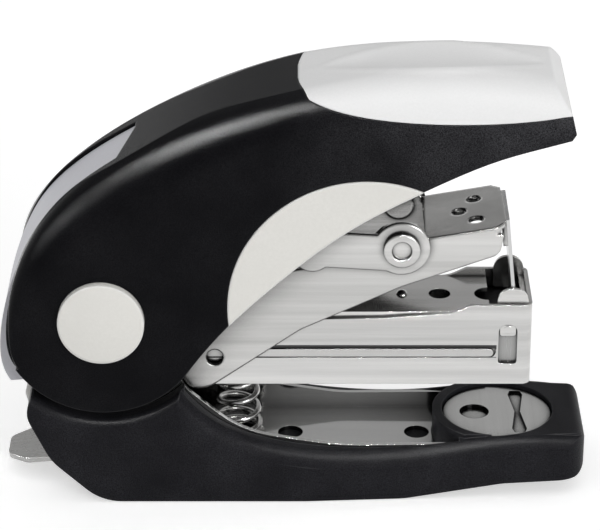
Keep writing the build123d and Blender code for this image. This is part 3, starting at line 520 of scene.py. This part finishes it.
def sheet_steel(name, low, high, rough, rolled, relief, recess_shades=PLAIN_RECESS_SHADE, slit_shades=(), fold=CUT_EDGE):
    """Rolled steel; recess and slit shades pair the values of a painted-shade effect with its grey."""
    made = Finish(name, specular=0.5, metallic=1.0)
    fine_lines = made.effect(streaks, Stretch=rolled[0])
    broad_bands = made.effect(streaks, Stretch=rolled[1])
    corner = made.effect(edge, Radius=fold)
    steel = made.colour(broad_bands.outputs["Streak"], low, high)
    for group, places in ((recess_shade, recess_shades), (groove_shade, slit_shades)):
        for values, shade_grey in places:
            shade_mask = made.effect(group, **values)
            steel = made.colour(shade_mask.outputs["Mask"], steel, (shade_grey, shade_grey, shade_grey))
    made.rough(fine_lines.outputs["Streak"], *rough)
    made.bump(fine_lines.outputs["Height"], relief, STREAK_STEP, corner.outputs["Normal"])
    return made.material


# %% [markdown]
# Most of the sheet is rolled along the stapler. The anvil is ground across, and the blade, the window plate and the
# wire run up and down. Painted shade darkens the arm where the links lie on it, the channel in its groove and near the
# arm's edge, and the anvil in its dimple. The pan, which is the best mirror, gets a painted dark reflection under the
# magazine.

# %% Steels
ALONG = ((25.0, 1500.0, 4500.0), (6.0, 60.0, 260.0))
ACROSS = ((4500.0, 25.0, 4500.0), (260.0, 6.0, 260.0))
UPRIGHT = ((4500.0, 4500.0, 25.0), (260.0, 260.0, 6.0))
GROOVE = dict(Middle=8 * MM, Reach=26.6 * MM)

bright_steel = sheet_steel("bright_steel", (0.46, 0.458, 0.45), (0.70, 0.695, 0.685), (0.14, 0.22), ALONG, 0.02)
plain_steel = sheet_steel("plain_steel", (0.34, 0.338, 0.334), (0.44, 0.437, 0.43), (0.26, 0.3), ALONG, 0.008)
blade_steel = sheet_steel("blade_steel", (0.45, 0.45, 0.45), (0.6, 0.6, 0.6), (0.15, 0.3), UPRIGHT, 0.08)
spring_steel = sheet_steel("spring_steel", (0.42, 0.417, 0.41), (0.56, 0.556, 0.548), (0.12, 0.22), UPRIGHT, 0.03)
arm_steel = sheet_steel(
    "arm_steel", (0.42, 0.418, 0.41), (0.64, 0.635, 0.625), (0.13, 0.24), ALONG, 0.08,
    recess_shades=[(dict(Distance=17 * MM, Full=0.4, Clear=0.88), 0.012)], fold=0.8 * MM,
)
channel_steel = sheet_steel(
    "channel_steel", (0.42, 0.418, 0.412), (0.66, 0.656, 0.648), (0.14, 0.22), ALONG, 0.03, fold=0.12 * MM,
    recess_shades=[
        (dict(Distance=4 * MM, Full=0.2, Clear=0.8), 0.04),
        (dict(Distance=0.9 * MM, Full=0.5, Clear=0.85), 0.05),
    ],
    # Painted shade in the slits above and below the band.
    slit_shades=[
        (dict(Height=26.8 * MM, Half=0.42 * MM, **GROOVE), 0.05),
        (dict(Height=24.86 * MM, Half=0.08 * MM, **GROOVE), 0.12),
    ],
)
pan_steel = sheet_steel(
    "pan_steel", (0.62, 0.62, 0.615), (0.78, 0.78, 0.77), (0.05, 0.12), ALONG, 0.03,
    recess_shades=[(dict(Distance=14 * MM, Full=0.16, Clear=0.86), 0.06)],
)
# Darker than the other steels: painted shade in the window.
shaded_window_steel = sheet_steel(
    "shaded_window_steel", (0.30, 0.30, 0.295), (0.38, 0.38, 0.375), (0.24, 0.3), UPRIGHT, 0.008,
    recess_shades=[(dict(Distance=2.2 * MM, Full=0.3, Clear=0.95), 0.06)],
)
anvil_steel = sheet_steel(
    "anvil_steel", (0.66, 0.66, 0.65), (0.76, 0.76, 0.75), (0.12, 0.2), ACROSS, 0.05,
    recess_shades=[(dict(Distance=3.5 * MM, Full=0.72, Clear=0.985), 0.02)],
)
print("steels:", sum(made.name.endswith("_steel") for made in bpy.data.materials))

# %% [markdown]
# Each solid takes the finish of its slot in the record. A few pieces of the same slot look different on the real
# stapler, so these get a finish of their own. The back panel's is the white plastic made darker and cooler, as painted
# shade.

# %% Dress the solids
finish_of_slot = {
    "black_plastic": black_plastic,
    "white_plastic": white_plastic,
    "soft_pad": soft_pad,
    "bright_steel": bright_steel,
    "plain_steel": plain_steel,
    "spring_steel": spring_steel,
    "dark_plastic": dark_plastic,
    "foot_rubber": foot_rubber,
}
own_finish = {
    "base_shell": grained_plastic,
    "back_panel": shaded_white_plastic,
    "base_plate": pan_steel,
    "anvil_disc": anvil_steel,
    "driver_blade": blade_steel,
    "driver_arm": arm_steel,
    "link_left": arm_steel,
    "link_right": arm_steel,
    "link_rivets": arm_steel,
    "magazine_channel": channel_steel,
}
slot_of = {part["node"]: part["material_slot"] for part in frame["record"]["subparts"]}
for name, solid in nodes.items():
    solid.data.materials.clear()
    solid.data.materials.append(own_finish.get(name, finish_of_slot[slot_of[name]]))
print("slots dressed:", sorted({slot_of[name] for name in nodes}))


# %% [markdown]
# ## Grip pad
# The soft pad on the nose has a hollow lens on its crest, from which two long facets fall to its edge. A solid cut from
# the handle's form has the right outline but a round back, and sculpting the lens by hand would not follow the solid.
# So the pad is made again as a mesh. First come the helpers that any new mesh needs.

# %% Mesh helpers
def bridge(making, first, second):
    """Faces between two closed rings with the same number of points."""
    count = len(first)
    for i in range(count):
        k = (i + 1) % count
        making.faces.new((first[i], first[k], second[k], second[i]))


def closed_mesh(name, making):
    """Mesh data from a mesh in the making, with all its faces looking outwards."""
    bmesh.ops.recalc_face_normals(making, faces=making.faces)
    mesh = bpy.data.meshes.new(name)
    making.to_mesh(mesh)
    making.free()
    return mesh


def new_piece(name, mesh, finish, body):
    """Object of a mesh with its finish, on a body of the frame."""
    piece = bpy.data.objects.new(name, mesh)
    bpy.context.collection.objects.link(piece)
    mesh.materials.clear()
    mesh.materials.append(finish)
    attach(piece, body)
    return piece


# %% [markdown]
# The mesh has to lie on the solid. Its outline and its heights could be typed in, but rays that are cast on the solid
# read them off and stay right when the solid changes. The half-width is found by halving the interval between a ray
# that hits and one that misses.

# %% Pad rays
RAY_START = 100 * MM
WIDER_THAN_PAD = 20 * MM
HALVINGS = 24
JUST_INSIDE = 0.9995
pad_low, pad_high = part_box("grip_pad")
pad_solid = BVHTree.FromObject(nodes["grip_pad"], bpy.context.evaluated_depsgraph_get())


def pad_top(x, y):
    """Height of the solid pad's upper face, or None beside it."""
    hit = pad_solid.ray_cast(Vector((x, y, RAY_START)), Vector((0, 0, -1)))
    return hit[0].z if hit[0] else None


def pad_under(x, y):
    """Height of the solid pad's lower face."""
    return pad_solid.ray_cast(Vector((x, y, 0.0)), Vector((0, 0, 1)))[0].z


def pad_half(x):
    """Half-width of the solid pad at x."""
    low, high = 0.0, WIDER_THAN_PAD
    for _ in range(HALVINGS):
        middle = (low + high) / 2
        low, high = (middle, high) if pad_top(x, middle) is not None else (low, middle)
    return low * JUST_INSIDE


print("pad length", round(pad_high[0] - pad_low[0], 4))

# %% [markdown]
# Each column of the grid runs across the pad. In its middle the lens is hollowed, and beside it the round back is cut
# down towards a straight facet, but only so far that the outline seen from the side stays.

# %% Pad form
LENS_START = 4.0 * MM
LENS_LONG = 39.0 * MM
LENS_WIDE = 6.2 * MM
LENS_FULL = 4.0 * MM
LENS_HOLLOW = 0.7 * MM
LENS_SHARE = 0.9
FACET_DEEP = 0.35 * MM
FACET_CURVE = 0.35
TINY = 0.01 * MM


def lens_half(x):
    """Half-width of the lens on the crest."""
    share = min(max((x - LENS_START) / LENS_LONG, 0.0), 1.0)
    return LENS_WIDE * math.sin(math.pi * share) ** 0.8


def pad_height(x, y, half, lens, deepest):
    """Height of the finished pad: its round back, cut to a facet and hollowed in the lens."""
    crest = pad_top(x, 0.0)
    rim = pad_top(x, half) or crest
    round_back = pad_top(x, y) or rim
    out = max(abs(y) - lens, 0.0) / (half - lens)
    facet = crest + (rim - crest) * (out + FACET_CURVE * out * (out - 1))
    hollow = LENS_HOLLOW * max(1 - (y / max(lens, TINY)) ** 2, 0.0) * min(lens / LENS_FULL, 1.0)
    return round_back - min(max(round_back - facet, 0.0), deepest) - hollow


# %% [markdown]
# The grid is closer towards both ends and both sides, where the form curves most. A skirt that is pulled inwards closes
# it below, in the space of the solid.

# %% Grip pad
PAD_COLUMNS = 120
PAD_ROWS = 48
PAD_INSET = 0.03 * MM
PAD_CROWD = 0.06
LEAST_HALF = 0.1 * MM
SKIRT_MIDDLE = 24 * MM
SKIRT_PULL = (0.015, 0.03)
SKIRT_DEEP = 1.2 * MM
SKIRT_LEAST = 0.05 * MM

pad = bmesh.new()
grid = []
for i in range(PAD_COLUMNS + 1):
    share = i / PAD_COLUMNS
    crowded = share - PAD_CROWD * math.sin(2 * math.pi * share)
    x = pad_low[0] + PAD_INSET + (pad_high[0] - pad_low[0] - 2 * PAD_INSET) * crowded
    half = max(pad_half(x), LEAST_HALF)
    lens = min(lens_half(x), half * LENS_SHARE)
    deepest = FACET_DEEP * math.sin(math.pi * share) ** 1.2
    across = [half * math.sin(math.pi / 2 * (2 * j / PAD_ROWS - 1)) for j in range(PAD_ROWS + 1)]
    grid.append([pad.verts.new((x, y, pad_height(x, y, half, lens, deepest))) for y in across])
for a, b in zip(grid, grid[1:]):
    for j in range(PAD_ROWS):
        pad.faces.new((a[j], b[j], b[j + 1], a[j + 1]))
far_side = [column[-1] for column in grid[1:-1]]
near_side = [column[0] for column in grid[-2:0:-1]]
outline = grid[0] + far_side + grid[-1][::-1] + near_side
skirt = []
for vert in outline:
    x = vert.co.x + (SKIRT_MIDDLE - vert.co.x) * SKIRT_PULL[0]
    y = vert.co.y * (1 - SKIRT_PULL[1])
    under = pad_under(x, y) if pad_top(x, y) else vert.co.z
    z = min(max(under, vert.co.z - SKIRT_DEEP), vert.co.z - SKIRT_LEAST)
    skirt.append(pad.verts.new((x, y, z)))
bridge(pad, outline, skirt)
pad.faces.new(skirt)
for face in pad.faces:
    face.smooth = len(face.verts) == 4
pad_mesh = closed_mesh("grip_pad_soft", pad)
grip_pad = new_piece("grip_pad_soft", pad_mesh, soft_pad, "handle")
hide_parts("grip_pad")
print("grip pad:", len(pad_mesh.vertices), "points")


# %% [markdown]
# ## Magazine sides
# Along each side of the channel runs a pressed groove with a flat band in it, and near the front a window shows a plate
# inside. The solid has the groove and the window. Band and plate are thin plates with round corners. A bevelled cube
# would do, but one helper that lofts an outline through a few levels also makes the pip and the foot.

# %% Loft helpers
CORNER_STEPS = 6


def rounded_outline(span, rise, radius):
    """Rectangle with round corners: for each point the centre of its corner and the direction from it."""
    points = []
    for right, upper, start in ((1, 1, 0), (0, 1, 90), (0, 0, 180), (1, 0, 270)):
        u = span[1] - radius if right else span[0] + radius
        v = rise[1] - radius if upper else rise[0] + radius
        for step in range(CORNER_STEPS + 1):
            angle = math.radians(start + step * 90 / CORNER_STEPS)
            points.append((u, v, math.cos(angle), math.sin(angle)))
    return points


def loft(making, points, levels, place):
    """Closed form through an outline at levels of (height, radius); place puts (u, v, height) into the frame."""
    rings = []
    for height, radius in levels:
        rings.append([making.verts.new(place(u + c * radius, v + s * radius, height)) for u, v, c, s in points])
    for first, second in zip(rings, rings[1:]):
        bridge(making, first, second)
    making.faces.new(rings[0][::-1])
    making.faces.new(rings[-1])


# %% [markdown]
# The band lies in the groove just below the face of the channel, so that a wide dark slit shows above it and a fine one
# below. It could be part of the channel's own sheet, but as a plate of its own it keeps a crisp edge.

# %% Side bands
SIDES = {"near": -1, "far": 1}
EDGE_ROUND = 0.05 * MM
BAND_SPAN = (-18.1 * MM, 34.1 * MM)
BAND_RISE = (24.95 * MM, 26.45 * MM)
BAND_CORNER = 0.74 * MM
BAND_DEPTHS = (0.04 * MM, 0.4 * MM)
channel_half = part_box("magazine_channel")[1][1]


def upright(u, v, height):
    """Places an outline drawn along X and Z, with its levels along Y."""
    return u, height, v


def side_plate(side, face, back, span, rise, corner):
    """Thin upright plate on one side, from its back to its face, with a softened rim."""
    plate = bmesh.new()
    levels = [(side * back, corner), (side * (face - EDGE_ROUND), corner), (side * face, corner - EDGE_ROUND)]
    loft(plate, rounded_outline(span, rise, corner), levels, upright)
    return plate


for side_name, side in SIDES.items():
    face, back = (channel_half - depth for depth in BAND_DEPTHS)
    band = side_plate(side, face, back, BAND_SPAN, BAND_RISE, BAND_CORNER)
    band_mesh = closed_mesh("side_band_" + side_name, band)
    new_piece("side_band_" + side_name, band_mesh, channel_steel, "magazine")
print("channel half-width", round(channel_half, 5))

# %% [markdown]
# The window shows a dull plate inside the channel, its colour darkened as painted shade, and, at its top, a bright tab
# with a round pip. A texture could fake them, but the pip is round and catches the light. The pip is a flat dome,
# lofted through circles that shrink.

# %% Window plates
SHEET = 0.7 * MM
PLATE_SPAN = (34.6 * MM, 38.55 * MM)
PLATE_RISE = (23.3 * MM, 31.4 * MM)
PLATE_CORNER = 0.6 * MM
PLATE_DEPTHS = (0.03 * MM, 0.2 * MM)
TAB_SPAN = (35.1 * MM, 37.9 * MM)
TAB_RISE = (28.8 * MM, 30.9 * MM)
TAB_CORNER = 0.5 * MM
TAB_DEPTHS = (0.3 * MM, SHEET + 0.1 * MM)
PIP_CENTRE = (36.5 * MM, 30.0 * MM)
PIP_RADIUS = 0.75 * MM
PIP_HIGH = 0.12 * MM
PIP_SUNK = 0.01 * MM
PIP_PROFILE = [(1.0, 0.0), (0.95, 0.3), (0.75, 0.65), (0.4, 0.92)]
PIP_STEPS = 24
turns = [2 * math.pi * i / PIP_STEPS for i in range(PIP_STEPS)]
pip_points = [(*PIP_CENTRE, math.cos(turn), math.sin(turn)) for turn in turns]
for side_name, side in SIDES.items():
    face, back = (channel_half - SHEET - depth for depth in PLATE_DEPTHS)
    plate = side_plate(side, face, back, PLATE_SPAN, PLATE_RISE, PLATE_CORNER)
    plate_mesh = closed_mesh("window_plate_" + side_name, plate)
    new_piece("window_plate_" + side_name, plate_mesh, shaded_window_steel, "magazine")
    face, back = (channel_half - depth for depth in TAB_DEPTHS)
    tab = side_plate(side, face, back, TAB_SPAN, TAB_RISE, TAB_CORNER)
    levels = [(side * (face - PIP_SUNK + high * PIP_HIGH), out * PIP_RADIUS) for out, high in PIP_PROFILE]
    loft(tab, pip_points, levels, upright)
    tab_mesh = closed_mesh("window_tab_" + side_name, tab)
    new_piece("window_tab_" + side_name, tab_mesh, bright_steel, "magazine")
print("window plates at", round(channel_half - SHEET, 5))

# %% [markdown]
# ## Foot
# Under the base lies a rubber mat that keeps the stapler from sliding: a thin plate with round corners and a row of
# raised ribs across it, which are what really stands on the table. A bump would show the ribs from below but leave the
# mat flat at its edge, so they are lofted as well.

# %% Foot mat
MAT_CORNER = 3 * MM
MAT_BEVEL = 0.2 * MM
RIB_COUNT = 14
RIB_HIGH = 0.6 * MM
RIB_ROOT = 0.2 * MM
RIB_MARGIN = (2 * MM, 1.5 * MM)
RIB_HALF_SHARE = 0.3
RIB_CORNER_SHARE = 0.29
foot_low, foot_high = [Vector(v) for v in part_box("foot_pad")]


def mat_plate(making, span, depth, bottom, top, corner):
    """Lying plate with round corners and a softened lower rim."""
    levels = [(bottom, corner - MAT_BEVEL), (bottom + MAT_BEVEL, corner), (top, corner)]
    loft(making, rounded_outline(span, depth, corner), levels, lambda u, v, height: (u, v, height))


mat = bmesh.new()
mat_plate(mat, (foot_low.x, foot_high.x), (foot_low.y, foot_high.y), RIB_HIGH, foot_high.z, MAT_CORNER)
pitch = (foot_high.x - foot_low.x - 2 * RIB_MARGIN[0]) / RIB_COUNT
rib_depth = (foot_low.y + RIB_MARGIN[1], foot_high.y - RIB_MARGIN[1])
for i in range(RIB_COUNT):
    x = foot_low.x + RIB_MARGIN[0] + pitch * (i + 0.5)
    rib_span = (x - pitch * RIB_HALF_SHARE, x + pitch * RIB_HALF_SHARE)
    mat_plate(mat, rib_span, rib_depth, 0.0, RIB_HIGH + RIB_ROOT, pitch * RIB_CORNER_SHARE)
foot_mat = new_piece("foot_mat", closed_mesh("foot_mat", mat), foot_rubber, "base")
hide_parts("foot_pad")
print("foot mat:", RIB_COUNT, "ribs")

# %% [markdown]
# ## Springs
# A wound spring is a round wire along a coil. It could be screwed up from a circle with a modifier, but a curve with a
# round bevel lets the turns lie closer at both ends, as on a real spring with closed ends. The curve becomes a mesh, so
# that it can shorten with its joint.

# %% Spring helper
TURN_STEPS = 20
END_CROWD = 0.45


def wound(name, turn_count, radius_at, length, wire, place):
    """Mesh of a round wire along a coil; place puts (across, up, along) into the frame."""
    curve = bpy.data.curves.new(name, "CURVE")
    curve.dimensions = "3D"
    curve.bevel_depth = wire / 2
    curve.bevel_resolution = 3
    curve.resolution_u = 2
    curve.use_fill_caps = True
    line = curve.splines.new("NURBS")
    count = int(turn_count * TURN_STEPS)
    line.points.add(count)
    for i in range(count + 1):
        share = i / count
        along_coil = share - END_CROWD * math.sin(2 * math.pi * share) / (2 * math.pi)
        angle = 2 * math.pi * turn_count * share
        radius = radius_at(share)
        spot = place(radius * math.cos(angle), radius * math.sin(angle), wire / 2 + along_coil * (length - wire))
        line.points[i].co = (*spot, 1)
    line.order_u = 4
    line.use_endpoint_u = True
    holder = bpy.data.objects.new(name, curve)
    bpy.context.collection.objects.link(holder)
    bpy.context.view_layer.update()
    mesh = bpy.data.meshes.new_from_object(holder.evaluated_get(bpy.context.evaluated_depsgraph_get()))
    bpy.data.objects.remove(holder)
    mesh.name = name
    for polygon in mesh.polygons:
        polygon.use_smooth = True
    return mesh


# %% [markdown]
# The return spring stands between the pan and the magazine and pushes the magazine up. It tapers towards its top. It
# rides on the base and is squashed as the magazine dips.

# %% Return spring
RETURN_WIRE = 1.1 * MM
RETURN_TURNS = 5.0
RETURN_TAPER = 0.28
low, high = [Vector(v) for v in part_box("return_spring")]
middle = (low + high) / 2
wide = (high.x - low.x - RETURN_WIRE) / 2
spring_mesh = wound(
    "return_coil",
    RETURN_TURNS,
    lambda share: wide * (1 - RETURN_TAPER * share),
    high.z - low.z,
    RETURN_WIRE,
    lambda across, up, along: (middle.x + across, up, low.z + along),
)
return_coil = new_piece("return_coil", spring_mesh, spring_steel, "base")
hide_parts("return_spring")
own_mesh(return_coil)
print("return spring:", len(spring_mesh.vertices), "points")

# %% [markdown]
# The pusher spring lies along the rod in the magazine and presses the staples forward. It has many turns of fine wire
# and is squashed as the pusher slides back over it.

# %% Pusher spring
PUSHER_WIRE = 0.5 * MM
PUSHER_TURNS = 26.0
low, high = [Vector(v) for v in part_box("pusher_spring")]
middle = (low + high) / 2
slim = (high.z - low.z - PUSHER_WIRE) / 2
spring_mesh = wound(
    "pusher_coil",
    PUSHER_TURNS,
    lambda share: slim,
    high.x - low.x,
    PUSHER_WIRE,
    lambda across, up, along: (low.x + along, across, middle.z + up),
)
pusher_coil = new_piece("pusher_coil", spring_mesh, spring_steel, "magazine")
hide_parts("pusher_spring")
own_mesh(pusher_coil)
print("pusher spring:", len(spring_mesh.vertices), "points")
